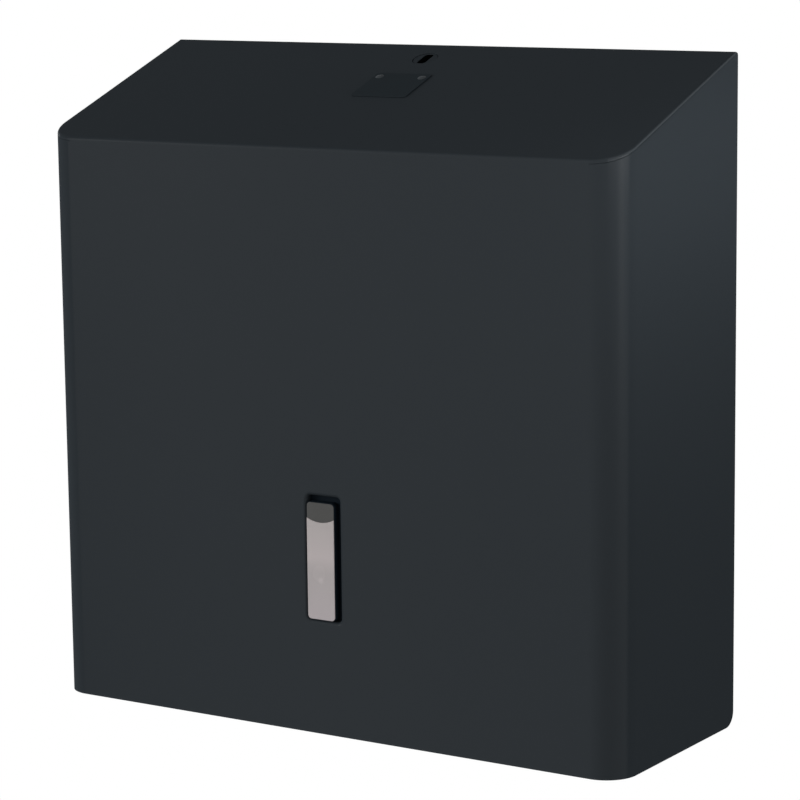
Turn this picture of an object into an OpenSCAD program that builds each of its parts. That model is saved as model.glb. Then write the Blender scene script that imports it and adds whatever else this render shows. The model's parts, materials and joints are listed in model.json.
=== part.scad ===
// Wall dispenser for four toilet rolls on a turning carousel, behind a locked cover that tips forward.
// Sizes in millimetres. The wall is the plane y = 0, the front faces -y and +z is up.
// The origin lies on the wall, on the carousel's axis, in the middle of the four wall screws.

/* [Cover] */
// Width over the cover's side walls
cover_w = 310; // [290:1:350]
// Depth of the side walls, from the front face to their rear edge
cover_d = 110; // [96:1:130]
// Height along the rear edge
cover_h = 312; // [300:1:340]
// Height of the front face
front_h = 271; // [240:1:290]
// Thickness of the cover's steel sheet
sheet_t = 1.5; // [1:0.1:2]
// Outer radius of the upright front edges
edge_r = 15; // [8:1:24]
// Radius of the lower rear corners, which are centred on the hinge
corner_r = 7; // [6.5:0.5:9]
// Outer radius of the fold along the rear edge of the slope
fold_r = 2; // [1:0.1:3]
// Height of the lip that is folded down behind the slope
lip_h = 6; // [5:0.5:7]
// Height of the hem inside the lower edge of the front
hem_h = 10; // [6:1:20]

/* [Window] */
// Width of the cut-out in the front
window_w = 20.2; // [18:0.1:30]
// Height of the cut-out in the front
window_h = 58.7; // [50:0.1:80]
// Corner radius of the cut-out
window_r = 3.5; // [2:0.5:6]
// Height of the window's centre above the lower edge
window_z = 82.3; // [60:0.1:140]
// Depth of the rim folded in round the cut-out, from the front face
rim_d = 3.5; // [2:0.1:4]
// Thickness of the rim
rim_t = 1; // [0.8:0.1:1.5]
// Black margin between the cut-out and the sides of the pane
side_margin = 2.75; // [2:0.05:4]
// Black margin between the cut-out and the ends of the pane, on average
end_margin = 2.1; // [1.5:0.05:4]
// How far the pane sits below the middle of the cut-out
pane_drop = 0.6; // [0:0.1:1]
// How far the frame laps behind the front sheet
frame_lap = 5; // [3:0.5:8]
// Thickness of the frame
frame_t = 1.2; // [1:0.1:1.5]
// How far the pane stands proud of the front face
pane_stand = 0.6; // [0:0.1:1.5]
// Wall of the frame's collar round the pane
pane_collar_t = 0.7; // [0.6:0.1:1]
// Corner radius of the pane
pane_r = 1.8; // [1:0.1:3]
// Width of the pane's flange behind the frame
pane_flange = 2; // [1:0.1:3]
// Thickness of the pane's flange and of the clip behind it
pane_flange_t = 1; // [0.8:0.1:1.2]
// Radius of the round lower end of the clip's tongue
tongue_r = 16; // [12:1:24]
// Height of the tongue at its middle
tongue_h = 9; // [6:0.5:14]

/* [Badge] */
// Width of the badge
badge_w = 30; // [20:1:50]
// Height of the badge along the slope
badge_h = 26; // [16:1:34]
// Thickness of the badge
badge_t = 0.5; // [0.3:0.1:1]
// Distance of the badge's centre from the rear edge, along the slope
badge_s = 49.4; // [40:0.2:70]
// Distance of the rivets from the sides of the badge
rivet_side = 3.4; // [3:0.2:6]
// Distance of the rivets from the upper edge of the badge
rivet_drop = 4.4; // [3:0.2:6]
// Diameter of the rivet heads
rivet_head_d = 4.6; // [3:0.2:6]

/* [Lock] */
// Diameter of the lock's face
lock_d = 12; // [10:0.5:12.5]
// Diameter of the lock's shank
lock_shank_d = 9; // [8.6:0.1:9.5]
// Depth of the lock's head below the slope
lock_head_h = 5; // [3.5:0.5:6]
// Depth of the sleeve's lower end below the slope
sleeve_h = 9; // [8:0.5:10]
// Wall of the sleeve round the lock's head
sleeve_wall = 1.5; // [1:0.1:2]
// Width of the key slot
key_w = 3; // [2:0.1:4]
// Length of the key slot
key_l = 9; // [6:0.5:9.5]
// Side of the square that drives the cam
drive_w = 6; // [5:0.1:6]
// Thickness of the cam
cam_t = 2; // [1.5:0.1:2.5]
// Width of the cam's arm
cam_w = 8; // [6:0.5:9]
// Reach of the cam from the lock's axis
cam_reach = 13.9; // [11:0.1:15]

/* [Back plate] */
// Thickness of the back plate
back_t = 1.5; // [1:0.1:2]
// Depth of the side flanges from the wall
flange_d = 20; // [16:1:30]
// Gap between the side flanges and the cover's side walls
side_gap = 1.5; // [1.2:0.1:3]
// Height of the back plate's lower edge
base_z = 1; // [0:0.5:2]
// Drop of the back plate's upper edge below the cover's rear edge
top_drop = 3; // [2:0.5:5]
// Drop of the side flanges' upper ends below the cover's rear edge
flange_drop = 22; // [18:1:60]
// Spacing of the wall screws across
wall_screws_x = 220; // [180:1:240]
// Spacing of the wall screws up and down
wall_screws_z = 180; // [140:1:220]
// Diameter of the wall screw holes
wall_hole_d = 6; // [4:0.5:8]

/* [Hinge] */
// Diameter of the hinge pins
pin_d = 5; // [3:0.5:5]
// Length of the hinge pins
pin_l = 5; // [4:0.5:8]
// Wall of the hinge bushes
bush_t = 1; // [0.8:0.1:1.2]
// Width of the bushes' collars
bush_collar = 2; // [1:0.5:3]

/* [Carousel] */
// Outer diameter of the cardboard core
core_d = 42; // [40:0.5:46]
// Wall of the cardboard core
core_t = 1; // [0.8:0.1:1.5]
// Gap between neighbouring rolls
roll_gap = 3; // [2:0.5:4]
// Gap between the lowest roll and the lower edge of the cover
base_gap = 6; // [3:0.5:12]
// Gap between the highest roll and the height of the front face
top_gap = 9.7; // [6:0.1:20]
// Gap between the rolls and the inside of the front
front_gap = 7; // [6:0.5:12]
// Distance of the rotor from the wall
rotor_back = 6; // [5.8:0.1:6.5]
// Thickness of the rotor
rotor_t = 3; // [2:0.1:3]
// Radius of the rotor's middle disc
rotor_disc_r = 34; // [28:1:38]
// Width of the rotor's arms
arm_w = 26; // [20:1:32]
// Radius of the pads at the ends of the arms
arm_end_r = 24; // [18:1:28]
// Length of the hub along the axle
hub_l = 14; // [10:1:20]
// Wall of the hub
hub_wall = 4; // [3:0.5:5]
// Diameter of the axle
axle_d = 12; // [10:0.5:14]
// Wall of the bearing bush
hub_bush_t = 2; // [1.5:0.1:2.5]
// Wall of the spindles
spindle_wall = 2; // [1.6:0.1:3]
// How far the spindles stop short of the rolls' front
spindle_short = 5; // [3:0.5:12]
// Thickness of the spindles' rear collars
collar_t = 2; // [1.5:0.1:2]
// Width of the spindles' rear collars past the tube
collar_w = 6; // [4:0.5:8]
// Length of the slots that make the spindles springy
slot_l = 45; // [20:1:60]

/* [Detent] */
// Distance of the detent holes from the carousel's axis
detent_pitch = 45; // [42:1:46]
// Radius of the leaf spring's dimple
dimple_r = 3.5; // [3:0.1:4]
// Thickness of the leaf spring
leaf_t = 0.6; // [0.4:0.1:0.8]
// Width of the leaf spring
leaf_w = 12; // [9:0.5:16]
// Length of the leaf from the dimple to its tip
leaf_nose = 8; // [6:0.5:10]
// Length of the flat leaf from the dimple to the knee
leaf_flat = 10; // [6:0.5:14]
// Length of the ramp from the knee to the root
leaf_ramp = 16; // [12:0.5:20]
// Length of the foot that is screwed to the back plate
leaf_foot = 24; // [20:0.5:30]
// Distance of the screws from the ends of the foot
leaf_screw_inset = 6.5; // [6:0.5:8]

/* [Hidden] */
$fn = 72;

// Clearances
running_gap = 0.05;
fastener_gap = 0.05;
seat_gap = 0.3;
thrust_gap = 0.2;
over = 1;

// Cover
wall_gap = back_t + seat_gap;
rear_y = -wall_gap;
front_y = rear_y - cover_d;
slope_a = atan((cover_h - front_h) / cover_d);
slope_drop = sheet_t / cos(slope_a);
inner_half = cover_w / 2 - sheet_t;
hinge_y = rear_y - corner_r;
hinge_z = corner_r;

// Window
pane_w = window_w - 2 * side_margin;
pane_h = window_h - 2 * end_margin;
pane_z = window_z - pane_drop;
frame_back = -rim_d - frame_t;
pane_back = frame_back - pane_flange_t;
clip_back = pane_back - pane_flange_t;
clip_h = tongue_h + 2 * pane_flange;
tongue_recess = 0.2;
pane_collar_drop = 0.3;
pane_collar_rim = pane_collar_t + fastener_gap;

// Lock, set back from the rear edge so that the cam stays inside the cover
sleeve_r = lock_d / 2 + running_gap + sleeve_wall;
cam_depth = sleeve_h + thrust_gap;
lock_s = cam_reach + (cam_depth + cam_t) * tan(slope_a);
lock_y = rear_y - lock_s * cos(slope_a);
lock_z = cover_h - lock_s * sin(slope_a);
cam_hub_wall = 2;
cam_hub_r = drive_w / sqrt(2) + cam_hub_wall;
cam_screw_d = 3;
cam_screw_l = 5;
cam_screw_head_d = 8;
cam_screw_head_h = 2;
lock_recess = 0.2;
key_depth = 3.5;

// Strike hook, placed from the cam where it lies across the lock
strike_t = 1.5;
strike_gap = 0.6;
hook_w = 8;
hook_x = sleeve_r + strike_gap;
hook_y = lock_y - cam_w / 2 * cos(slope_a) + cam_depth * sin(slope_a) - strike_gap;
cam_edge_z = lock_z - cam_w / 2 * sin(slope_a) - cam_depth * cos(slope_a);
hook_arm_z = cam_edge_z - cam_t * cos(slope_a) - strike_gap - strike_t;
hook_lap = 2;
strike_plate_w = 24;
strike_plate_h = 20;
strike_rivet_d = 4;
strike_rivet_inset = 6;

// Back plate
back_half = inner_half - side_gap;
back_top = cover_h - top_drop;
flange_top = cover_h - flange_drop;
bush_r = pin_d / 2 + running_gap + bush_t;
bush_inner_l = 1;
buffer_d = 8;
buffer_stem_d = 4;
buffer_head_t = 1.5;
buffer_y = -flange_d / 2;
buffer_drop = 30;
buffer_z = flange_top - buffer_drop;

// Carousel: four rolls in a square fill the height of the front
roll_d = (front_h - base_gap - top_gap - roll_gap * sqrt(2)) / (1 + sqrt(2));
pitch_r = (roll_d + roll_gap) / sqrt(2);
axis_z = pitch_r + roll_d / 2 + base_gap;
rotor_front = rotor_back + rotor_t;
collar_front = rotor_front + collar_t;
roll_back = collar_front + seat_gap;
roll_w = -front_y - sheet_t - front_gap - roll_back;
core_bore_r = core_d / 2 - core_t;
spindle_r = core_bore_r - seat_gap;
spindle_front = roll_back + roll_w - spindle_short;
spindle_base_t = 3;
spindle_chamfer = 1.2;
spindle_slot_w = 4;
spindle_screw_d = 5;
spindle_screw_head_d = 10;
spindle_screw_head_h = 3;
hub_bush_r = axle_d / 2 + running_gap + hub_bush_t;
hub_r = hub_bush_r + hub_wall;
hub_front = rotor_back + hub_l;
axle_end = hub_front + thrust_gap;
axle_flange_d = 44;
axle_flange_t = 2;
axle_step = 1;
axle_shoulder_r = hub_bush_r + axle_step;
axle_spigot_d = 10;
washer_lap = 2;
washer_r = hub_bush_r + washer_lap;
washer_t = 1.5;
axle_screw_d = 6;
axle_screw_l = 12;
axle_screw_head_d = 11;
axle_screw_head_h = 4;
cap_wall = 2;
cap_seat = 6;
cap_room = 1;
cap_round = 3;

// Detent, on the arm that points to +x
dimple_reach = 1.5;
dimple_gap = 0.4;
leaf_gap = 0.6;
leaf_z = rotor_back - leaf_gap - leaf_t;
leaf_tip = detent_pitch - leaf_nose;
leaf_knee = detent_pitch + leaf_flat;
leaf_root = leaf_knee + leaf_ramp;
leaf_end = leaf_root + leaf_foot;
leaf_screw_d = 3.5;
leaf_screw_head_d = 7;
leaf_screw_head_h = 2;
leaf_screws = [leaf_root + leaf_screw_inset, leaf_end - leaf_screw_inset];

// Colours
anthracite = "#2f3438";
zinc = "#b4b8ba";
nylon = "#e6e2d6";
black_plastic = "#0d0f11";

// Frames of reference

// Heights are counted from the lower edge of the cover.
module from_base() {
    translate([0, 0, -axis_z]) children();
}

// x to the right and y up in the plane of the wall, z out from the wall, about the carousel's axis.
module from_wall() {
    rotate([90, 0, 0]) children();
}

// x to the right, y up from the lower edge, z out from the front face.
module on_front() {
    from_base() translate([0, front_y, 0]) rotate([90, 0, 0]) children();
}

// x to the right, y up the slope to its rear edge, z out from the slope.
module on_slope() {
    from_base() translate([0, rear_y, cover_h]) rotate([slope_a, 0, 0]) children();
}

module at_lock() {
    on_slope() translate([0, -lock_s, 0]) children();
}

module at_spindle(number) {
    from_wall() rotate(90 * (number - 2)) translate([pitch_r, 0, 0]) children();
}

module both_sides() {
    children();
    mirror([1, 0, 0]) children();
}

// Shapes that repeat

module rounded_rect(width, height, radius) {
    square([width - 2 * radius, height], center = true);
    square([width, height - 2 * radius], center = true);
    for (sx = [-1, 1], sy = [-1, 1])
        translate([sx * (width / 2 - radius), sy * (height / 2 - radius)]) circle(radius);
}

// Extrudes a (y, z) outline across the cover.
module across(width) {
    rotate([90, 0, 90]) linear_extrude(width, center = true) children();
}

module along_x(x) {
    translate([x, 0, 0]) rotate([0, 90, 0]) children();
}

module tube(outer_r, inner_r, length) {
    difference() {
        cylinder(r = outer_r, h = length);
        translate([0, 0, -over]) cylinder(r = inner_r, h = length + 2 * over);
    }
}

// Screw or rivet whose head sits on z = 0 and whose shank goes down.
module fastener(shank_d, shank_l, head_d, head_h) {
    translate([0, 0, -shank_l]) cylinder(d = shank_d, h = shank_l + head_h / 2);
    intersection() {
        cylinder(d = head_d, h = head_h);
        translate([0, 0, head_h - head_d]) sphere(d = 2 * head_d);
    }
}

// Plan of the cover, set in by the sheet's thickness for its inside.
module cover_plan(inset, rear) {
    half = cover_w / 2 - inset;
    radius = edge_r - inset;
    front = front_y + inset;
    translate([-half, front + radius]) square([2 * half, rear - front - radius]);
    translate([radius - half, front]) square([2 * (half - radius), 2 * radius]);
    for (side = [-1, 1]) translate([side * (half - radius), front + radius]) circle(radius);
}

// Side view of the wrapped sheet, up to the underside of the slope.
module cover_side() {
    polygon([
        [front_y, 0],
        [hinge_y, 0],
        [rear_y, hinge_z],
        [rear_y, cover_h - slope_drop],
        [front_y, front_h - slope_drop]
    ]);
    translate([hinge_y, hinge_z]) circle(corner_r);
}

// What the fold takes off the sharp rear edge, in side view.
module fold_cut() {
    centre = [rear_y - fold_r, cover_h - fold_r * (tan(slope_a) + 1 / cos(slope_a))];
    normal = [-sin(slope_a), cos(slope_a)];
    difference() {
        polygon([
            centre,
            centre + [fold_r, 0],
            centre + [fold_r + over, 0],
            [rear_y + over, cover_h + over],
            centre + (fold_r + over) * normal
        ]);
        translate(centre) circle(fold_r);
    }
}

// The front end of the clip's tongue, which notches the pane with a gap all round.
module tongue_outline(gap) {
    intersection() {
        translate([0, pane_h / 2 - tongue_h + tongue_r]) circle(tongue_r + gap);
        rounded_rect(pane_w + 2 * gap, pane_h + 2 * gap, pane_r + gap);
    }
}

module rivet_places() {
    for (side = [-1, 1])
        translate([side * (badge_w / 2 - rivet_side), badge_h / 2 - rivet_drop - badge_s, 0]) children();
}

module strike_rivet_places() {
    for (x = [hook_x + strike_rivet_inset, hook_x + strike_plate_w - strike_rivet_inset])
        translate([x, hook_arm_z - axis_z - strike_plate_h / 2, 0]) children();
}

// Wall unit

module back_plate() {
    color(anthracite) difference() {
        union() {
            from_wall() translate([-back_half, base_z - axis_z, 0])
                cube([2 * back_half, back_top - base_z, back_t]);
            both_sides() from_base() translate([back_half - back_t / 2, 0, 0]) across(back_t) flange_side();
        }
        from_wall() translate([0, 0, -over]) {
            for (sx = [-1, 1], sz = [-1, 1])
                translate([sx * wall_screws_x / 2, sz * wall_screws_z / 2, 0])
                    cylinder(d = wall_hole_d, h = back_t + 2 * over);
            cylinder(d = axle_spigot_d + 2 * fastener_gap, h = back_t + 2 * over);
            for (x = leaf_screws)
                translate([x, 0, 0]) cylinder(d = leaf_screw_d + 2 * fastener_gap, h = back_t + 2 * over);
            strike_rivet_places() cylinder(d = strike_rivet_d + 2 * fastener_gap, h = back_t + 2 * over);
        }
        both_sides() from_base() {
            translate([0, hinge_y, hinge_z]) along_x(back_half - back_t - over)
                cylinder(r = bush_r + fastener_gap, h = back_t + 2 * over);
            translate([0, buffer_y, buffer_z]) along_x(back_half - back_t - over)
                cylinder(d = buffer_stem_d + 2 * fastener_gap, h = back_t + 2 * over);
        }
    }
}

// Side view of a flange, with its upper end cut to the slope of the cover.
module flange_side() {
    polygon([
        [0, base_z],
        [-flange_d, base_z],
        [-flange_d, flange_top - flange_d * tan(slope_a)],
        [0, flange_top]
    ]);
}

module hinge_bushes() {
    color(nylon) both_sides() from_base() translate([0, hinge_y, hinge_z]) difference() {
        union() {
            along_x(back_half - back_t - bush_inner_l)
                cylinder(r = bush_r, h = back_t + bush_inner_l + over / 2);
            along_x(back_half) cylinder(r = bush_r + bush_collar, h = side_gap - seat_gap);
        }
        along_x(back_half - back_t - bush_inner_l - over)
            cylinder(d = pin_d + 2 * running_gap, h = back_t + bush_inner_l + side_gap + 2 * over);
    }
}

module side_buffers() {
    color("#17181a") both_sides() from_base() translate([0, buffer_y, buffer_z]) {
        along_x(back_half - back_t - buffer_head_t) cylinder(d = buffer_d, h = buffer_head_t);
        along_x(back_half - back_t - buffer_head_t)
            cylinder(d = buffer_stem_d, h = back_t + buffer_head_t + over / 2);
        along_x(back_half) cylinder(d1 = buffer_d, d2 = buffer_d / 2, h = side_gap - seat_gap);
    }
}

module strike_hook() {
    color(zinc) difference() {
        from_base() {
            translate([hook_x, -back_t - strike_t, hook_arm_z - strike_plate_h])
                cube([strike_plate_w, strike_t, strike_plate_h + strike_t]);
            translate([hook_x, hook_y - strike_t, hook_arm_z]) {
                cube([hook_w, -back_t - hook_y + strike_t, strike_t]);
                cube([hook_w, strike_t, cam_edge_z - hook_arm_z + hook_lap]);
            }
        }
        from_wall() strike_rivet_places()
            cylinder(d = strike_rivet_d + 2 * fastener_gap, h = back_t + strike_t + over);
    }
}

module strike_rivets() {
    color(zinc) from_wall() strike_rivet_places() translate([0, 0, back_t + strike_t])
        fastener(strike_rivet_d, back_t + strike_t, strike_rivet_d * 1.8, strike_t);
}

module axle_stud() {
    color(zinc) from_wall() difference() {
        union() {
            cylinder(d = axle_spigot_d, h = back_t + over / 2);
            translate([0, 0, back_t]) cylinder(d = axle_flange_d, h = axle_flange_t);
            translate([0, 0, back_t]) cylinder(r = axle_shoulder_r, h = rotor_back - thrust_gap - back_t);
            translate([0, 0, back_t]) cylinder(d = axle_d, h = axle_end - back_t);
        }
        translate([0, 0, axle_end - axle_screw_l])
            cylinder(d = axle_screw_d + 2 * fastener_gap, h = axle_screw_l + over);
    }
}

module axle_washer() {
    color(zinc) from_wall() translate([0, 0, axle_end])
        tube(washer_r, axle_screw_d / 2 + fastener_gap, washer_t);
}

module axle_screw() {
    color(zinc) from_wall() translate([0, 0, axle_end + washer_t])
        fastener(axle_screw_d, axle_screw_l + washer_t, axle_screw_head_d, axle_screw_head_h);
}

module detent_spring() {
    color("#c9c6bd") from_wall() {
        difference() {
            rotate([90, 0, 0]) linear_extrude(leaf_w, center = true) polygon([
                [leaf_tip, leaf_z],
                [leaf_knee, leaf_z],
                [leaf_root, back_t],
                [leaf_end, back_t],
                [leaf_end, back_t + leaf_t],
                [leaf_root, back_t + leaf_t],
                [leaf_knee, leaf_z + leaf_t],
                [leaf_tip, leaf_z + leaf_t]
            ]);
            for (x = leaf_screws)
                translate([x, 0, 0]) cylinder(d = leaf_screw_d + 2 * fastener_gap, h = back_t + leaf_t + over);
        }
        intersection() {
            translate([detent_pitch, 0, rotor_back + dimple_reach - dimple_r]) sphere(dimple_r);
            translate([detent_pitch, 0, leaf_z]) cylinder(r = dimple_r, h = 2 * dimple_r);
        }
    }
}

module detent_screws() {
    color(zinc) from_wall() for (x = leaf_screws)
        translate([x, 0, back_t + leaf_t])
            fastener(leaf_screw_d, back_t + leaf_t, leaf_screw_head_d, leaf_screw_head_h);
}

// Cover

module front_cover() {
    color(anthracite) difference() {
        from_base() {
            difference() {
                intersection() {
                    difference() {
                        linear_extrude(cover_h) cover_plan(0, rear_y);
                        translate([0, 0, -over]) linear_extrude(cover_h + 2 * over)
                            cover_plan(sheet_t, rear_y + over);
                    }
                    across(cover_w + 2 * over) cover_side();
                }
                across(cover_w + 2 * over) fold_cut();
            }
            translate([edge_r - cover_w / 2, front_y + sheet_t / 2, 0])
                cube([cover_w - 2 * edge_r, sheet_t * 1.5, hem_h]);
            translate([0, 0, axis_z]) on_front() translate([0, window_z, -rim_d])
                linear_extrude(rim_d - sheet_t / 2)
                    rounded_rect(window_w + 2 * rim_t, window_h + 2 * rim_t, window_r + rim_t);
        }
        on_front() translate([0, window_z, -rim_d - over])
            linear_extrude(rim_d + 2 * over) rounded_rect(window_w, window_h, window_r);
    }
}

module sloped_top() {
    color(anthracite) difference() {
        from_base() difference() {
            union() {
                intersection() {
                    linear_extrude(cover_h + over) cover_plan(0, rear_y);
                    across(cover_w + 2 * over) polygon([
                        [front_y, front_h],
                        [rear_y, cover_h],
                        [rear_y, cover_h - slope_drop],
                        [front_y, front_h - slope_drop]
                    ]);
                }
                across(2 * (inner_half - fastener_gap)) polygon([
                    [rear_y, cover_h - lip_h],
                    [rear_y, cover_h - slope_drop / 2],
                    [rear_y - sheet_t, cover_h - sheet_t * tan(slope_a) - slope_drop / 2],
                    [rear_y - sheet_t, cover_h - lip_h]
                ]);
            }
            across(cover_w + 2 * over) fold_cut();
        }
        at_lock() translate([0, 0, -sheet_t - over])
            cylinder(d = lock_d + 2 * seat_gap, h = sheet_t + 2 * over);
        on_slope() rivet_places() translate([0, 0, -sheet_t - over])
            cylinder(d = rivet_head_d / 2 + 2 * fastener_gap, h = sheet_t + 2 * over);
    }
}

module hinge_pins() {
    color(zinc) both_sides() from_base() translate([0, hinge_y, hinge_z])
        along_x(inner_half - pin_l) cylinder(d = pin_d, h = pin_l);
}

module window_frame() {
    color(black_plastic) on_front() translate([0, window_z, frame_back]) difference() {
        union() {
            linear_extrude(frame_t)
                rounded_rect(window_w + 2 * frame_lap, window_h + 2 * frame_lap, window_r + frame_lap / 2);
            translate([0, -pane_drop, 0]) linear_extrude(pane_stand - pane_collar_drop - frame_back)
                rounded_rect(pane_w + 2 * pane_collar_rim, pane_h + 2 * pane_collar_rim,
                    pane_r + pane_collar_rim);
        }
        translate([0, -pane_drop, -over]) linear_extrude(pane_stand - frame_back + 2 * over)
            rounded_rect(pane_w + 2 * fastener_gap, pane_h + 2 * fastener_gap, pane_r + fastener_gap);
    }
}

module window_pane() {
    color("#a8a0a0") on_front() translate([0, pane_z, 0]) difference() {
        union() {
            translate([0, 0, frame_back]) linear_extrude(pane_stand - frame_back)
                rounded_rect(pane_w, pane_h, pane_r);
            translate([0, 0, pane_back]) linear_extrude(pane_flange_t)
                rounded_rect(pane_w + 2 * pane_flange, pane_h + 2 * pane_flange, pane_r + pane_flange);
        }
        translate([0, 0, pane_back - over]) linear_extrude(pane_stand - pane_back + 2 * over)
            tongue_outline(fastener_gap);
    }
}

module window_clip() {
    color("#4e4e4c") on_front() translate([0, pane_z, 0]) {
        translate([0, 0, clip_back]) linear_extrude(pane_stand - tongue_recess - clip_back) tongue_outline(0);
        translate([0, pane_h / 2 + pane_flange - clip_h / 2, clip_back]) linear_extrude(pane_flange_t)
            rounded_rect(pane_w + 2 * pane_flange, clip_h, pane_r);
    }
}

module badge_plate() {
    color("#24282b") on_slope() difference() {
        translate([0, -badge_s, 0]) linear_extrude(badge_t) rounded_rect(badge_w, badge_h, pane_r);
        rivet_places() translate([0, 0, -over])
            cylinder(d = rivet_head_d / 2 + 2 * fastener_gap, h = badge_t + 2 * over);
    }
}

module badge_rivets() {
    color("#5a5d5e") on_slope() rivet_places() translate([0, 0, badge_t])
        fastener(rivet_head_d / 2, sheet_t + badge_t, rivet_head_d, badge_t);
}

module lock_housing() {
    color(zinc) at_lock() difference() {
        translate([0, 0, -sleeve_h]) cylinder(r = sleeve_r, h = sleeve_h - sheet_t);
        translate([0, 0, -lock_head_h]) cylinder(d = lock_d + 2 * running_gap, h = lock_head_h);
        translate([0, 0, -sleeve_h - over]) cylinder(d = lock_shank_d + 2 * running_gap, h = sleeve_h);
    }
}

// Lock

module lock_cylinder() {
    color("#3a3e41") at_lock() difference() {
        union() {
            translate([0, 0, running_gap - lock_head_h])
                cylinder(d = lock_d, h = lock_head_h - running_gap - lock_recess);
            translate([0, 0, -cam_depth]) cylinder(d = lock_shank_d, h = cam_depth - lock_head_h / 2);
            translate([-drive_w / 2, -drive_w / 2, -cam_depth - cam_t]) cube([drive_w, drive_w, cam_t + over]);
        }
        translate([0, 0, -key_depth]) linear_extrude(key_depth + over) square([key_w, key_l], center = true);
        translate([0, 0, -cam_depth - cam_t - over])
            cylinder(d = cam_screw_d + 2 * fastener_gap, h = cam_screw_l + over + fastener_gap);
    }
}

module lock_cam() {
    color(zinc) at_lock() translate([0, 0, -cam_depth - cam_t]) linear_extrude(cam_t) difference() {
        union() {
            circle(cam_hub_r);
            translate([-cam_w / 2, 0]) square([cam_w, cam_reach - cam_w / 2]);
            translate([0, cam_reach - cam_w / 2]) circle(d = cam_w);
        }
        square(drive_w + 2 * fastener_gap, center = true);
    }
}

module cam_screw() {
    color(zinc) at_lock() translate([0, 0, -cam_depth - cam_t]) rotate([180, 0, 0])
        fastener(cam_screw_d, cam_screw_l, cam_screw_head_d, cam_screw_head_h);
}

// Carousel

module carousel_rotor() {
    color(zinc) from_wall() difference() {
        union() {
            translate([0, 0, rotor_back]) linear_extrude(rotor_t) {
                circle(rotor_disc_r);
                for (quarter = [0:3]) rotate(90 * quarter) {
                    translate([0, -arm_w / 2]) square([pitch_r, arm_w]);
                    translate([pitch_r, 0]) circle(arm_end_r);
                }
            }
            translate([0, 0, rotor_back]) cylinder(r = hub_r, h = hub_l);
        }
        translate([0, 0, rotor_back - over]) {
            cylinder(r = hub_bush_r + fastener_gap, h = hub_l + 2 * over);
            for (quarter = [0:3]) rotate(90 * quarter) {
                translate([detent_pitch, 0, 0]) cylinder(r = dimple_r + dimple_gap, h = rotor_t + 2 * over);
                translate([pitch_r, 0, 0])
                    cylinder(d = spindle_screw_d + 2 * fastener_gap, h = rotor_t + 2 * over);
            }
        }
    }
}

module hub_bush() {
    color(nylon) from_wall() translate([0, 0, rotor_back]) tube(hub_bush_r, axle_d / 2 + running_gap, hub_l);
}

module hub_cap() {
    cap_r = hub_r + fastener_gap + cap_wall;
    room_front = axle_end + washer_t + axle_screw_head_h + cap_room;
    cap_front = room_front + cap_wall;
    color("#2a2d30") from_wall() difference() {
        translate([0, 0, hub_front - cap_seat]) {
            cylinder(r = cap_r, h = cap_front - hub_front + cap_seat - cap_round);
            cylinder(r = cap_r - cap_round, h = cap_front - hub_front + cap_seat);
            translate([0, 0, cap_front - hub_front + cap_seat - cap_round])
                rotate_extrude() translate([cap_r - cap_round, 0]) circle(cap_round);
        }
        translate([0, 0, hub_front - cap_seat - over])
            cylinder(r = hub_r + fastener_gap, h = room_front - hub_front + cap_seat + over);
    }
}

module spindle(number) {
    color("#d9dadb") at_spindle(number) difference() {
        rotate_extrude() polygon([
            [0, rotor_front],
            [spindle_r + collar_w, rotor_front],
            [spindle_r + collar_w, collar_front],
            [spindle_r, collar_front],
            [spindle_r, spindle_front - spindle_chamfer],
            [spindle_r - spindle_chamfer, spindle_front],
            [spindle_r - spindle_wall, spindle_front],
            [spindle_r - spindle_wall, rotor_front + spindle_base_t],
            [0, rotor_front + spindle_base_t]
        ]);
        translate([0, 0, rotor_front - over])
            cylinder(d = spindle_screw_d + 2 * fastener_gap, h = spindle_base_t + 2 * over);
        for (third = [0:2]) rotate(120 * third)
            translate([0, -spindle_slot_w / 2, spindle_front - slot_l])
                cube([spindle_r + over, spindle_slot_w, slot_l + over]);
    }
}

module spindle_screws() {
    color(zinc) for (number = [1:4]) at_spindle(number) translate([0, 0, rotor_front + spindle_base_t])
        fastener(spindle_screw_d, rotor_t + spindle_base_t, spindle_screw_head_d, spindle_screw_head_h);
}

module roll_core(number) {
    color("#b99a72") at_spindle(number) translate([0, 0, roll_back]) tube(core_d / 2, core_bore_r, roll_w);
}

module roll_paper(number) {
    color("#f2f0ec") at_spindle(number) translate([0, 0, roll_back]) tube(roll_d / 2, core_d / 2, roll_w);
}

back_plate();
hinge_bushes();
side_buffers();
strike_hook();
strike_rivets();
axle_stud();
axle_washer();
axle_screw();
detent_spring();
detent_screws();
front_cover();
sloped_top();
hinge_pins();
window_frame();
window_pane();
window_clip();
badge_plate();
badge_rivets();
lock_housing();
lock_cylinder();
lock_cam();
cam_screw();
carousel_rotor();
hub_bush();
hub_cap();
spindle_screws();
spindle(1);  // spindle_1
spindle(2);  // spindle_2
spindle(3);  // spindle_3
spindle(4);  // spindle_4
roll_core(1);  // roll_core_1
roll_core(2);  // roll_core_2
roll_core(3);  // roll_core_3
roll_core(4);  // roll_core_4
roll_paper(1);  // roll_paper_1
roll_paper(2);  // roll_paper_2
roll_paper(3);  // roll_paper_3
roll_paper(4);  // roll_paper_4
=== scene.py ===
import json
import math

import bpy
from mathutils import Matrix, Vector


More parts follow.
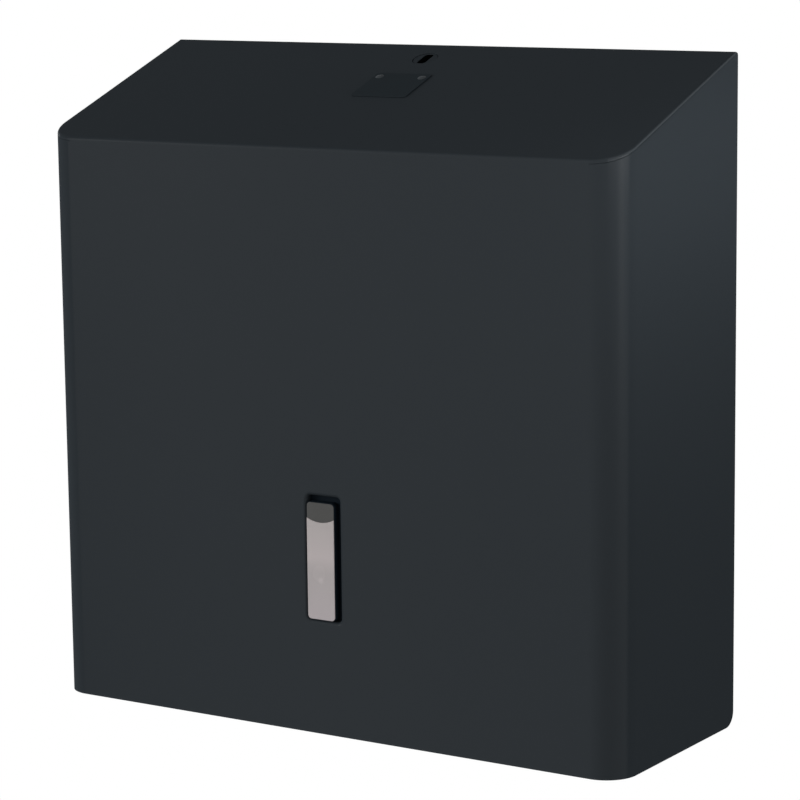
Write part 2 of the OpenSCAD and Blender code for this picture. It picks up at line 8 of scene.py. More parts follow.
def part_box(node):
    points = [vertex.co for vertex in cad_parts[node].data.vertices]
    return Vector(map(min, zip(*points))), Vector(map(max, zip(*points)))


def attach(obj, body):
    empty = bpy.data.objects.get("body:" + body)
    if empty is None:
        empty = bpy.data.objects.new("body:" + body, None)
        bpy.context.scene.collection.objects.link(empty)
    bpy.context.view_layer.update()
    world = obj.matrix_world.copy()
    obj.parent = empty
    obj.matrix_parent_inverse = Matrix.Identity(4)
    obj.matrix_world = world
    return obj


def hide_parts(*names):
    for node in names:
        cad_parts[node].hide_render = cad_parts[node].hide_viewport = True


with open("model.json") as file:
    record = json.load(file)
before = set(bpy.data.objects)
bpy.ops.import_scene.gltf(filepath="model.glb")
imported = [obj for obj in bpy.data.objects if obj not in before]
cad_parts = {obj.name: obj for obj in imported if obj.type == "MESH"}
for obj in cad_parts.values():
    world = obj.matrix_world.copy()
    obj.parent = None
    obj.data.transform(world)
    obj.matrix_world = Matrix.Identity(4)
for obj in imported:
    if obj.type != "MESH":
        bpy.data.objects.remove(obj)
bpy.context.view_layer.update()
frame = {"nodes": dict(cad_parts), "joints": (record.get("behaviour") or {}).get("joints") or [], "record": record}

MM = 0.001

# Sheet metal, as built
SHEET = 1.5 * MM
EDGE_R = 15 * MM
CORNER_R = 7 * MM
FOLD_R = 2 * MM
LIP_H = 6 * MM
LIP_GAP = 0.05 * MM
HEM_H = 10 * MM
HEM_LIFT = 0.1 * MM
HEM_LAP = 0.1 * SHEET
PLATE_ROUND = 1.35 * MM
SEAM_GROOVE = 0.5 * MM

# A face belongs to the plate's rounded edge, whose corners take the painted highlight, if it leans by more than
# this from flat and from upright
EDGE_TILT = 0.25

# The cover's outline, from the frame
cover_lo, cover_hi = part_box("front_cover")
HALF_W = cover_hi.x
FRONT_Y = cover_lo.y
REAR_Y = cover_hi.y
BASE_Z = cover_lo.z

# The lock's axis is square to the slope and starts on it, so it gives the slope's plane
lock_joint = next(joint for joint in frame["joints"] if joint["name"] == "lock_turn")
LOCK = Vector(lock_joint["pos_m"])
SLOPE_UP = -Vector(lock_joint["axis"]).normalized()
SLOPE_REAR = Vector((0, SLOPE_UP.z, -SLOPE_UP.y))
SLOPE_A = math.atan2(-SLOPE_UP.y, SLOPE_UP.z)

# Window: the black frame behind the cut-out, and the pane that stands out of it
WINDOW_W = 20.2 * MM
WINDOW_H = 58.7 * MM
RIM_T = 1 * MM
RIM_BEND = 1.7 * MM
FRAME_T = 1.2 * MM
FRAME_R = 6 * MM
COLLAR_T = 0.3 * MM
PANE_W = 14.7 * MM
PANE_H = 54.5 * MM
PANE_R = 1.8 * MM
PANE_CLEAR = 0.05 * MM
TONGUE_R = 16 * MM
TONGUE_H = 9 * MM
frame_lo, frame_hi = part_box("window_frame")
pane_lo, pane_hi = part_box("window_pane")
FRAME_Y = frame_hi.y - FRAME_T
WINDOW_Z = (frame_lo.z + frame_hi.z) / 2
PANE_Z = (pane_lo.z + pane_hi.z) / 2

# A round lighter spot in the pane's colour
PALE_SPOT_Z = PANE_Z - 0.164 * PANE_H
PALE_SPOT_R = 2.0 * MM
PALE_SPOT_CORE_R = 0.6 * MM
PALE_SPOT_TONE = 0.13

# The sheet's hole runs close to the pane on the left and below.
# On the right and above it leaves the black frame bare.
PANE_GAP = 0.55 * MM
SIDE_EASE = 0.1 * MM
TOP_EASE = 0.45 * MM
HOLE_LO = Vector((-PANE_W / 2 - PANE_GAP, 0, PANE_Z - PANE_H / 2 - PANE_GAP))
HOLE_HI = Vector((WINDOW_W / 2 + SIDE_EASE, 0, WINDOW_Z + WINDOW_H / 2 + TOP_EASE))
HOLE_W = HOLE_HI.x - HOLE_LO.x
HOLE_H = HOLE_HI.z - HOLE_LO.z
HOLE_X = (HOLE_LO.x + HOLE_HI.x) / 2
HOLE_Z = (HOLE_LO.z + HOLE_HI.z) / 2
HOLE_R = 2 * MM

# Badge and lock
BADGE_H = 26 * MM
BADGE_T = 0.5 * MM
BADGE_R = 1.8 * MM
LOCK_HOLE_R = 6.3 * MM
KEY_W = 4.6 * MM
KEY_L = 10.2 * MM
KEY_R = 1.6 * MM
KEY_DEPTH = 8 * MM

# The slot's inside is painted black as shade from this depth down, within this share of its width and length from
# its middle
SLOT_EDGE = 0.7 * MM
SLOT_REACH = 0.55

# Rolls: crushed outer corners, stepped layers on the ends, and a loose outer end
CRUSH = 1.2 * MM
CRUSH_ROUND = 0.3 * CRUSH
LAYERS = 6
LAYER_STEP = 0.25 * MM
LOOSE_END = 0.6 * MM
LOOSE_START = math.radians(70)
LOOSE_TURN = math.radians(83)
CORE_T = 1 * MM
ROLLS = range(1, 5)

# A face belongs to a roll's end if it faces along the axis by more than this
END_TILT = 0.6
END_METRES_PER_RADIAN = 0.03

# How far the sharp edges are broken
COVER_EDGE = 0.35 * MM
HEM_EDGE = 0.5 * MM
PLATE_EDGE = 0.2 * MM
FRAME_EDGE = 0.15 * MM
PANE_EDGE = 0.45 * MM
CLIP_EDGE = 0.2 * MM
BADGE_EDGE = 0.15 * MM
LOCK_EDGE = 0.12 * MM

# Working tolerances, and how far a cutter reaches past what it cuts
NEAR = 0.01 * MM
SLIVER = 0.002 * MM
SPIN_SEAM = 0.001 * MM
PAST = 4 * MM
BLOCK_PAST = 20 * MM
CUT_DEPTH = 20 * MM

# Angles between faces: one flat face, a smooth turn, and an edge that is broken
FLAT = math.radians(0.5)
SMOOTH = math.radians(50)
SMOOTH_ROLL = math.radians(40)
SHARP = math.radians(35)

# Steps round each arc
SLAB_STEPS = 8
EDGE_STEPS = 20
CORNER_STEPS = 12
FOLD_STEPS = 12
RIM_STEPS = 8
PLATE_STEPS = 6
LOCK_SIDES = 64
TONGUE_SIDES = 160
TISSUE_STEPS = 128
CORE_STEPS = 96


def slope_z(y):
    """Height of the slope's upper face at a depth."""
    return LOCK.z + (y - LOCK.y) * math.tan(SLOPE_A)


# Shader maths

class Wire:
    """A shader value. Python's operators on it add Math nodes."""

    def __init__(self, paint, socket):
        self.paint = paint
        self.socket = socket

    def math(self, operation, *others):
        values = dict(enumerate((self,) + others))
        return self.paint.node("ShaderNodeMath", {"operation": operation}, values)

    def __add__(self, other):
        return self.math("ADD", other)

    def __sub__(self, other):
        return self.math("SUBTRACT", other)

    def __rsub__(self, other):
        return self.paint.node("ShaderNodeMath", {"operation": "SUBTRACT"}, {0: other, 1: self})

    def __mul__(self, other):
        return self.math("MULTIPLY", other)

    __radd__ = __add__
    __rmul__ = __mul__


class Paint:
    """A material with a Principled surface, whose nodes are added one call at a time."""

    def __init__(self, name, **constants):
        self.material = bpy.data.materials.new(name)
        self.material.use_nodes = True
        self.tree = self.material.node_tree
        self.surface = self.tree.nodes["Principled BSDF"]
        for socket, value in constants.items():
            self.surface.inputs[socket.replace("_", " ")].default_value = value

    def node(self, kind, settings, inputs, output=0):
        made = self.tree.nodes.new(kind)
        for key, value in settings.items():
            if key == "stops":
                set_stops(made.color_ramp, value)
            else:
                setattr(made, key, value)
        for key, value in inputs.items():
            self.feed(made.inputs[key], value)
        return Wire(self, made.outputs[output])

    def feed(self, socket, value):
        if isinstance(value, Wire):
            self.tree.links.new(value.socket, socket)
        else:
            socket.default_value = value

    def set(self, **links):
        for socket, value in links.items():
            self.feed(self.surface.inputs[socket.replace("_", " ")], value)
        return self.material

    def place(self, name="Object"):
        return self.node("ShaderNodeTexCoord", {}, {}, name)

    def along(self, where, axis):
        return self.node("ShaderNodeSeparateXYZ", {}, {"Vector": where}, axis)

    def stretched(self, where, scale):
        return self.node("ShaderNodeMapping", {}, {"Vector": where, "Scale": scale})

    def noise(self, scale, detail=2.0, roughness=0.5, where=None):
        where = where or self.place()
        return self.node("ShaderNodeTexNoise", {}, {
            "Vector": where, "Scale": scale, "Detail": detail, "Roughness": roughness})

    def spread(self, value, low, high, start=0.0, end=1.0):
        """Goes evenly from low to high as the value goes from start to end."""
        return self.node("ShaderNodeMapRange", {"clamp": True}, {
            "Value": value, "From Min": start, "From Max": end, "To Min": low, "To Max": high})

    def mask(self, value, start, end):
        """Goes smoothly from 0 to 1 as the value goes from start to end."""
        return self.node("ShaderNodeMapRange", {"interpolation_type": "SMOOTHSTEP"}, {
            "Value": value, "From Min": start, "From Max": end})

    def mix(self, factor, first, second):
        made = self.tree.nodes.new("ShaderNodeMix")
        made.data_type = "RGBA"
        for socket, value in (("Factor_Float", factor), ("A_Color", first), ("B_Color", second)):
            self.feed(next(s for s in made.inputs if s.identifier == socket), value)
        return Wire(self, next(s for s in made.outputs if s.identifier == "Result_Color"))

    def toned(self, colour, tone):
        """A colour made lighter or darker by a varying tone."""
        vector = colour if isinstance(colour, Wire) else colour[:3]
        return self.node("ShaderNodeVectorMath", {"operation": "SCALE"}, {"Vector": vector, "Scale": tone})

    def bump(self, height, distance, strength):
        return self.node("ShaderNodeBump", {}, {
            "Height": height, "Distance": distance, "Strength": strength})


def set_stops(ramp, stops):
    while len(ramp.elements) < len(stops):
        ramp.elements.new(0.5)
    for element, (position, colour) in zip(ramp.elements, stops):
        element.position = position
        element.color = colour


def rgb(red, green, blue):
    """A colour given as it reads on screen, 0 to 255, in the renderer's linear values."""
    def linear(value):
        value = value / 255
        return value / 12.92 if value <= 0.04045 else ((value + 0.055) / 1.055) ** 2.4
    return (linear(red), linear(green), linear(blue), 1.0)


# Finishes

def powder_coat(name, colour, gloss=0.002):
    """Matt powder coat: a fine even grain, faint clouds in its tone, and a sheen where seen head on."""
    paint = Paint(name, Specular_IOR_Level=gloss, Coat_IOR=1.152, Coat_Roughness=0.26)
    aside = paint.node("ShaderNodeLayerWeight", {}, {"Blend": 0.5}, "Facing")
    clouds = paint.noise(scale=9.0, detail=3.0)
    grain = paint.noise(scale=1500.0, roughness=0.6)
    peel = paint.noise(scale=420.0, detail=1.0)
    tone = paint.spread(clouds * 0.5 + grain * 0.5, 0.93, 1.07)
    return paint.set(
        Base_Color=paint.toned(colour, tone),
        Roughness=paint.spread(grain * 0.7 + clouds * 0.3, 0.50, 0.62),
        Coat_Weight=1 - paint.mask(aside, 0.19, 0.30),
        Normal=paint.bump(grain * 0.6 + peel * 0.4, distance=0.03 * MM, strength=0.4))


def satin_plastic(name, colour, rough=(0.38, 0.5), gloss=0.3):
    """Moulded plastic with a fine spark-eroded grain."""
    paint = Paint(name, Specular_IOR_Level=gloss)
    grain = paint.noise(scale=2600.0, roughness=0.6)
    tone = paint.spread(paint.noise(scale=30.0), 0.94, 1.06)
    return paint.set(
        Base_Color=paint.toned(colour, tone),
        Roughness=paint.spread(grain, *rough),
        Normal=paint.bump(grain, distance=0.03 * MM, strength=0.4))


def plated_steel(name, colour, rough=(0.28, 0.46)):
    """Plated sheet: rolled streaks, with yellowish patches in the passivation."""
    red, green, blue = colour
    patch_colour = (red * 0.92, green * 0.93, blue * 0.84, 1.0)
    paint = Paint(name, Metallic=1.0)
    where = paint.place()
    rolled = paint.stretched(where, (1.0, 1.0, 22.0))
    streaks = paint.noise(scale=60.0, detail=3.0, roughness=0.6, where=rolled)
    patches = paint.noise(scale=45.0, where=where)
    return paint.set(
        Base_Color=paint.mix(patches, (red, green, blue, 1.0), patch_colour),
        Roughness=paint.spread(streaks * 0.6 + patches * 0.4, *rough),
        Normal=paint.bump(streaks, distance=0.02 * MM, strength=0.3))


def milky_acrylic():
    """The window's pane: pale and glossy, lightest above the middle, with a lighter round spot below."""
    tones = ((0.0, rgb(181, 173, 175)), (0.40, rgb(177, 170, 170)),
             (0.54, rgb(190, 181, 181)), (0.82, rgb(180, 173, 172)))
    paint = Paint("milky_acrylic", Specular_IOR_Level=0.3, Coat_Weight=0.2, Coat_Roughness=0.08)
    where = paint.place()
    clouds = paint.noise(scale=35.0, where=where)
    share = paint.spread(paint.along(where, "Z"), 0.0, 1.0, PANE_Z - PANE_H / 2, PANE_Z + PANE_H / 2)
    colour = paint.node("ShaderNodeValToRGB", {"stops": tones}, {"Fac": share})
    # The colour is lighter in a round spot below the middle
    from_pale_spot = paint.node("ShaderNodeVectorMath", {"operation": "DISTANCE"}, {
        "Vector": where, 1: (0, pane_lo.y, PALE_SPOT_Z)}, "Value")
    pale_spot = (1 - paint.mask(from_pale_spot, PALE_SPOT_CORE_R, PALE_SPOT_R)) * PALE_SPOT_TONE
    return paint.set(
        Base_Color=paint.toned(colour, paint.spread(clouds, 0.98, 1.02) + pale_spot),
        Roughness=paint.spread(clouds, 0.22, 0.32))


def rubber():
    """Matt black rubber."""
    paint = Paint("buffer_rubber", Specular_IOR_Level=0.2)
    grain = paint.noise(scale=1200.0, detail=3.0)
    return paint.set(
        Base_Color=paint.mix(grain, rgb(20, 20, 21), rgb(30, 30, 31)),
        Roughness=paint.spread(grain, 0.7, 0.85),
        Normal=paint.bump(grain, distance=0.08 * MM, strength=0.4))


def tissue_side():
    """The outside of a roll: crepe across it and rows of small embossed dots."""
    paint = Paint("tissue_side", Specular_IOR_Level=0.1, Sheen_Weight=0.15)
    where = paint.place("UV")
    creased = paint.stretched(where, (1.0, 0.3, 1.0))
    crepe = paint.noise(scale=900.0, detail=3.0, roughness=0.6, where=creased)
    dots = paint.node("ShaderNodeTexVoronoi", {"feature": "F1"}, {
        "Vector": where, "Scale": 150.0, "Randomness": 0.12}, "Distance")
    dimples = paint.mask(dots, 0.08, 0.34)
    return paint.set(
        Base_Color=paint.mix(crepe, rgb(228, 226, 221), rgb(242, 241, 237)),
        Roughness=paint.spread(crepe, 0.85, 0.97),
        Normal=paint.bump(crepe * 0.25 + dimples * 0.75, distance=0.5 * MM, strength=0.6))


def tissue_edge():
    """The ends of a roll, where the wound layers show as fine rings, 1.2 mm apart, that wander a little."""
    ring_rate = 5200.0
    drift = 1.2 * MM
    paint = Paint("tissue_edge", Specular_IOR_Level=0.1)
    where = paint.place("UV")
    wander = paint.noise(scale=60.0, where=where)
    radius = paint.along(where, "X")
    rings = ((radius + wander * drift) * ring_rate).math("SINE") * 0.5 + 0.5
    wound = paint.stretched(where, (1.0, 0.05, 1.0))
    fine = paint.noise(scale=2600.0, roughness=0.6, where=wound)
    layers = rings * 0.45 + fine * 0.55
    return paint.set(
        Base_Color=paint.mix(layers, rgb(206, 203, 196), rgb(240, 238, 233)),
        Roughness=paint.spread(fine, 0.88, 0.98),
        Normal=paint.bump(layers, distance=0.4 * MM, strength=0.5))


def core_board():
    """Grey-brown cardboard tube, wound on the slant, with a dark seam between its turns."""
    slant = 0.8
    turns_per_metre = 17.0
    paint = Paint("core_board", Specular_IOR_Level=0.15)
    where = paint.place("UV")
    fibres = paint.noise(scale=900.0, detail=4.0, roughness=0.65, where=where)
    turn = ((paint.along(where, "X") + paint.along(where, "Y") * slant) * turns_per_metre).math("FRACT")
    seam = paint.spread(turn, 0.0, 1.0, end=0.02)
    colour = paint.mix(fibres, rgb(150, 126, 96), rgb(186, 162, 128))
    return paint.set(
        Base_Color=paint.toned(colour, paint.spread(seam, 0.62, 1.0)),
        Roughness=paint.spread(fibres, 0.75, 0.92),
        Normal=paint.bump(fibres * 0.5 + seam * 0.5, distance=0.1 * MM, strength=0.4))


coat = powder_coat("anthracite_coat", rgb(47, 52, 56))
# The plate's rounded corner edges: a glossier coat, lighter in colour as a painted highlight
glossy_edge_painted_highlight = powder_coat("glossy_edge_painted_highlight", rgb(50, 55, 59), gloss=0.1)
back_coat = powder_coat("back_plate_coat", rgb(44, 49, 53))
badge_coat = powder_coat("badge_coat", rgb(40, 46, 50))
lock_coat = powder_coat("lock_coat", rgb(45, 50, 54))
rivet_coat = powder_coat("rivet_coat", rgb(66, 70, 73), gloss=0.02)
black_plastic = satin_plastic("black_plastic", rgb(22, 30, 37), gloss=0.02)
# Painted shade: the black deep inside the key slot
slot_painted_shade = satin_plastic("slot_painted_shade", rgb(5, 6, 7), gloss=0.02)
cap_plastic = satin_plastic("cap_plastic", rgb(30, 32, 35))
tongue_plastic = satin_plastic("tongue_plastic", rgb(86, 86, 85), gloss=0.05)
spindle_plastic = satin_plastic("spindle_plastic", rgb(196, 198, 200), rough=(0.28, 0.4))
nylon = satin_plastic("nylon", rgb(226, 221, 207), rough=(0.4, 0.55))
zinc = plated_steel("zinc_plate", (0.62, 0.64, 0.66))
spring = plated_steel("spring_steel", (0.58, 0.56, 0.52), rough=(0.2, 0.34))
pane_acrylic = milky_acrylic()
buffer_rubber = rubber()
paper_side = tissue_side()
paper_edge = tissue_edge()
board = core_board()


# Modelling by hand: every step acts on one active object

def deselect():
    if bpy.context.object and bpy.context.object.mode != "OBJECT":
        bpy.ops.object.mode_set(mode="OBJECT")
    bpy.ops.object.select_all(action="DESELECT")


def activate(piece):
    deselect()
    piece.select_set(True)
    bpy.context.view_layer.objects.active = piece


def settle(name):
    """Moves the new primitive's place and size into its mesh."""
    bpy.ops.object.transform_apply(location=True, rotation=True, scale=True)
    made = bpy.context.object
    made.name = name
    return made


def edit(piece):
    """Opens the piece in edit mode with everything selected."""
    activate(piece)
    bpy.ops.object.mode_set(mode="EDIT")
    bpy.ops.mesh.select_all(action="SELECT")


def done():
    bpy.ops.object.mode_set(mode="OBJECT")


def choose(piece, kind, test):
    """Selects the vertices, edges or faces that pass a test on their corners, and stays in edit mode."""
    edit(piece)
    bpy.ops.mesh.select_all(action="DESELECT")
    bpy.ops.mesh.select_mode(type=kind)
    done()
    mesh = piece.data
    parts = {"VERT": mesh.vertices, "EDGE": mesh.edges, "FACE": mesh.polygons}[kind]
    for part in parts:
        corners = [part.index] if kind == "VERT" else part.vertices
        part.select = test(*(mesh.vertices[i].co for i in corners))
    bpy.ops.object.mode_set(mode="EDIT")


def near(value, target):
    return abs(value - target) < NEAR


def linked(name, data):
    """A new object of the scene that holds a mesh, a camera or a lamp."""
    made = bpy.data.objects.new(name, data)
    bpy.context.scene.collection.objects.link(made)
    return made


def box_at(name, low, high):
    """A cube primitive between two corners."""
    deselect()
    low, high = Vector(low), Vector(high)
    bpy.ops.mesh.primitive_cube_add(size=1, location=(low + high) / 2, scale=high - low)
    return settle(name)


def round_bar(name, start, end, radius, sides):
    """A closed cylinder between two points."""
    start, end = Vector(start), Vector(end)
    deselect()
    bpy.ops.mesh.primitive_cylinder_add(
        vertices=sides, radius=radius, depth=(end - start).length, location=(start + end) / 2,
        rotation=(end - start).to_track_quat("Z", "Y").to_euler())
    return settle(name)


def rounded_slab(name, centre, width, height, depth, radius):
    """An upright slab that faces -Y, with rounded corners, its front face at the centre's depth."""
    half = Vector((width / 2, 0, height / 2))
    centre = Vector(centre)
    made = box_at(name, centre - half, centre + half + Vector((0, depth, 0)))
    choose(made, "EDGE", lambda a, b: abs(a.y - b.y) > depth / 2)
    bpy.ops.mesh.bevel(offset=radius, segments=SLAB_STEPS, affect="EDGES")
    done()
    return made


def prism(name, outline, half_width):
    """A (y, z) outline extruded along x."""
    mesh = bpy.data.meshes.new(name)
    mesh.from_pydata([(-half_width, y, z) for y, z in outline], [], [list(range(len(outline)))])
    made = linked(name, mesh)
    edit(made)
    bpy.ops.mesh.extrude_region_move(TRANSFORM_OT_translate={"value": (2 * half_width, 0, 0)})
    bpy.ops.mesh.select_all(action="SELECT")
    bpy.ops.mesh.normals_make_consistent(inside=False)
    done()
    return made


def revolve(name, profile, centre, steps):
    """Spins an (r, y) outline about an axis along y."""
    mesh = bpy.data.meshes.new(name)
    points = [(centre.x + radius, y, centre.z) for radius, y in profile]
    count = len(points)
    mesh.from_pydata(points, [(i, (i + 1) % count) for i in range(count)], [])
    made = linked(name, mesh)
    edit(made)
    bpy.ops.mesh.spin(steps=steps, angle=2 * math.pi, center=centre, axis=(0, 1, 0))
    bpy.ops.mesh.select_all(action="SELECT")
    bpy.ops.mesh.remove_doubles(threshold=SPIN_SEAM)
    bpy.ops.mesh.normals_make_consistent(inside=False)
    done()
    return made


def cad_copy(node):
    """A copy of a CAD node, with its loose triangles merged into whole faces."""
    made = linked(node + "_finished", frame["nodes"][node].data.copy())
    edit(made)
    bpy.ops.mesh.remove_doubles(threshold=SLIVER)
    bpy.ops.mesh.dissolve_limited(angle_limit=FLAT)
    done()
    return made


def cut(piece, point, normal, keep_inner=True, fill=True):
    """Cuts the whole piece at a plane and drops one side."""
    edit(piece)
    bpy.ops.mesh.bisect(plane_co=point, plane_no=normal, use_fill=fill,
                        clear_outer=keep_inner, clear_inner=not keep_inner)
    done()


def modify(piece, kind, **settings):
    activate(piece)
    made = piece.modifiers.new(kind.lower(), kind)
    for key, value in settings.items():
        setattr(made, key, value)
    bpy.ops.object.modifier_apply(modifier=made.name)


def combine(piece, tool, operation):
    """Cuts the tool out of the piece, adds it or keeps what both share, and deletes the tool."""
    modify(piece, "BOOLEAN", operation=operation, object=tool, solver="EXACT")
    bpy.data.objects.remove(tool)


def smooth(piece):
    """Merges the slivers that a bevel can leave, and shades the piece smooth up to its sharp edges."""
    edit(piece)
    bpy.ops.mesh.remove_doubles(threshold=SLIVER)
    bpy.ops.mesh.dissolve_degenerate(threshold=SLIVER)
    done()
    activate(piece)
    bpy.ops.object.shade_smooth_by_angle(angle=SMOOTH)
    modify(piece, "WEIGHTED_NORMAL", keep_sharp=True)


def soften(piece, width, segments=2):
    """Rounds the sharp edges a little, and keeps the flat faces flat in the shading."""
    modify(piece, "BEVEL", width=width, segments=segments, limit_method="ANGLE",
           angle_limit=SHARP, use_clamp_overlap=True)
    smooth(piece)


def soften_apart(piece, width, crisp):
    """Rounds the sharp edges a little, apart from those between two corners that stay crisp."""
    edit(piece)
    bpy.ops.mesh.select_mode(type="EDGE")
    bpy.ops.mesh.select_all(action="DESELECT")
    bpy.ops.mesh.edges_select_sharp(sharpness=SHARP)
    done()
    mesh = piece.data
    for edge in mesh.edges:
        if crisp(*(mesh.vertices[i].co for i in edge.vertices)):
            edge.select = False
    bpy.ops.object.mode_set(mode="EDIT")
    bpy.ops.mesh.bevel(offset=width, segments=2, affect="EDGES", clamp_overlap=True)
    done()
    smooth(piece)


BODY = {node: body for body, nodes in frame["record"]["behaviour"]["bodies"].items() for node in nodes}


def stand_for(piece, node, *materials):
    """The piece takes a node's place: its body and its finish."""
    piece.data.materials.clear()
    for material in materials:
        piece.data.materials.append(material)
    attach(piece, BODY[node])
    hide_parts(node)


# Cover

def wrap_block(name):
    """A block with the cover's plan, two rounded upright edges at the front, that reaches past the slope."""
    made = box_at(name, (-HALF_W, FRONT_Y, BASE_Z), (HALF_W, REAR_Y, slope_z(REAR_Y) + BLOCK_PAST))
    choose(made, "EDGE", lambda a, b: near(a.y, FRONT_Y) and near(b.y, FRONT_Y) and near(a.x, b.x))
    bpy.ops.mesh.bevel(offset=EDGE_R, segments=EDGE_STEPS, affect="EDGES")
    done()
    return made


def fold_cutter():
    """What the fold takes off the sharp edge between the slope and the back."""
    centre_y = REAR_Y - FOLD_R
    centre_z = slope_z(centre_y) - FOLD_R / math.cos(SLOPE_A)
    sweep = math.radians(90) + SLOPE_A
    arc = [sweep - step / FOLD_STEPS * sweep for step in range(FOLD_STEPS + 1)]
    outline = [(centre_y + FOLD_R * math.cos(a), centre_z + FOLD_R * math.sin(a)) for a in arc]
    first_y, first_z = outline[0]
    outline += [(REAR_Y + PAST, centre_z), (REAR_Y + PAST, slope_z(REAR_Y) + PAST),
                (first_y - PAST * math.sin(SLOPE_A), first_z + PAST * math.cos(SLOPE_A))]
    return prism("fold_cutter", outline, HALF_W + PAST)


def open_side(*corners):
    """The back, the top and the bottom of the block, which the sheet leaves open."""
    level = near(min(c.z for c in corners), max(c.z for c in corners))
    return level or all(near(c.y, REAR_Y) for c in corners)


def at_window(co):
    return abs(co.x) < WINDOW_W and abs(co.z - WINDOW_Z) < WINDOW_H


def on_slope_plane(co, below=0.0):
    return near((co - LOCK).dot(SLOPE_UP), -below)


def on_seam(a, b):
    """On the plane where the sloping plate is welded to the wrap."""
    return on_slope_plane(a, below=SHEET) and on_slope_plane(b, below=SHEET)


def on_straight_run(a, b):
    """Along the front or along a side, where the weld is ground flush."""
    along_front = near(a.y, FRONT_Y) and near(b.y, FRONT_Y)
    along_side = near(abs(a.x), HALF_W) and near(abs(b.x), HALF_W)
    return along_front or along_side


def on_round_corner(co):
    """On the outside of a rounded upright edge."""
    return math.hypot(abs(co.x) - HALF_W + EDGE_R, co.y - FRONT_Y - EDGE_R) > EDGE_R - SHEET / 2


def model_front_cover():
    """The sheet that wraps the front and both sides, open at the back, the top and the bottom."""
    shell = wrap_block("front_cover_shell")
    choose(shell, "FACE", open_side)
    bpy.ops.mesh.delete(type="FACE")
    done()
    cut(shell, LOCK - SLOPE_UP * SHEET, SLOPE_UP, fill=False)
    choose(shell, "VERT", lambda co: near(co.y, REAR_Y) and near(co.z, BASE_Z))
    bpy.ops.mesh.bevel(offset=CORNER_R, segments=CORNER_STEPS, affect="VERTICES")
    done()
    modify(shell, "SOLIDIFY", thickness=SHEET, offset=-1, use_even_offset=True)

    rim_y = FRONT_Y + SHEET / 2
    rim = rounded_slab("window_rim", (HOLE_X, rim_y, HOLE_Z), HOLE_W + 2 * RIM_T, HOLE_H + 2 * RIM_T,
                       FRAME_Y - rim_y, HOLE_R + RIM_T)
    combine(shell, rim, "UNION")
    hole = rounded_slab("window_hole", (HOLE_X, FRONT_Y - PAST, HOLE_Z), HOLE_W, HOLE_H, CUT_DEPTH, HOLE_R)
    combine(shell, hole, "DIFFERENCE")
    choose(shell, "EDGE", lambda a, b: all(near(c.y, FRONT_Y) and at_window(c) for c in (a, b)))
    bpy.ops.mesh.bevel(offset=RIM_BEND, segments=RIM_STEPS, affect="EDGES")
    done()

    choose(shell, "EDGE", lambda a, b: on_seam(a, b) and on_round_corner(a) and on_round_corner(b)
           and not on_straight_run(a, b))
    bpy.ops.mesh.bevel(offset=SEAM_GROOVE, segments=2, affect="EDGES")
    done()
    combine(shell, fold_cutter(), "DIFFERENCE")
    soften_apart(shell, COVER_EDGE, lambda a, b: on_seam(a, b) and on_straight_run(a, b))

    hem = box_at("hem", (EDGE_R - HALF_W, FRONT_Y + SHEET - HEM_LAP, BASE_Z + HEM_LIFT),
                 (HALF_W - EDGE_R, FRONT_Y + 2 * SHEET, BASE_Z + HEM_H))
    soften(hem, HEM_EDGE, segments=3)
    activate(shell)
    hem.select_set(True)
    bpy.ops.object.join()
    stand_for(shell, "front_cover", coat)


def model_sloped_top():
    """The sloping plate on the wrap, with the lip folded down behind and a painted highlight on its rounded ends:
    a glossier coat in a lighter colour.
    """
    plate = wrap_block("sloped_top_plate")
    cut(plate, LOCK, SLOPE_UP)
    cut(plate, LOCK - SLOPE_UP * SHEET, SLOPE_UP, keep_inner=False)
    choose(plate, "EDGE", lambda a, b: on_slope_plane(a) and on_slope_plane(b)
           and not (near(a.y, REAR_Y) and near(b.y, REAR_Y)))
    bpy.ops.mesh.bevel(offset=PLATE_ROUND, segments=PLATE_STEPS, affect="EDGES")
    done()

    top_z = slope_z(REAR_Y)
    drop = SHEET / math.cos(SLOPE_A)
    lip = prism("lip", [(REAR_Y, top_z - LIP_H), (REAR_Y, top_z - drop / 2),
                        (REAR_Y - SHEET, slope_z(REAR_Y - SHEET) - drop / 2),
                        (REAR_Y - SHEET, top_z - LIP_H)], HALF_W - SHEET - LIP_GAP)
    combine(plate, lip, "UNION")
    combine(plate, fold_cutter(), "DIFFERENCE")
    hole = round_bar("lock_hole", LOCK + SLOPE_UP * PAST, LOCK - SLOPE_UP * PAST, LOCK_HOLE_R, LOCK_SIDES)
    combine(plate, hole, "DIFFERENCE")
    soften_apart(plate, PLATE_EDGE, on_seam)

    stand_for(plate, "sloped_top", coat, glossy_edge_painted_highlight)
    # The rounded edges at the corners take the glossier, lighter coat, a painted highlight
    for face in plate.data.polygons:
        rounded = EDGE_TILT < face.normal.dot(SLOPE_UP) < 1 - EDGE_TILT
        if rounded and abs(face.center.x) > HALF_W - EDGE_R / 2:
            face.material_index = 1


# Window

def pane_outline(front_y, clear):
    """A deep slab with the pane's outline and a clearance round it, to cut with."""
    return rounded_slab("pane_outline", (0, front_y, PANE_Z), PANE_W + 2 * clear, PANE_H + 2 * clear,
                        CUT_DEPTH, PANE_R + clear)


def tongue_bar(name, front_y, rear_y, radius):
    """A bar whose round underside is the lower end of the tongue."""
    z = PANE_Z + PANE_H / 2 - TONGUE_H + TONGUE_R
    return round_bar(name, (0, front_y, z), (0, rear_y, z), radius, TONGUE_SIDES)


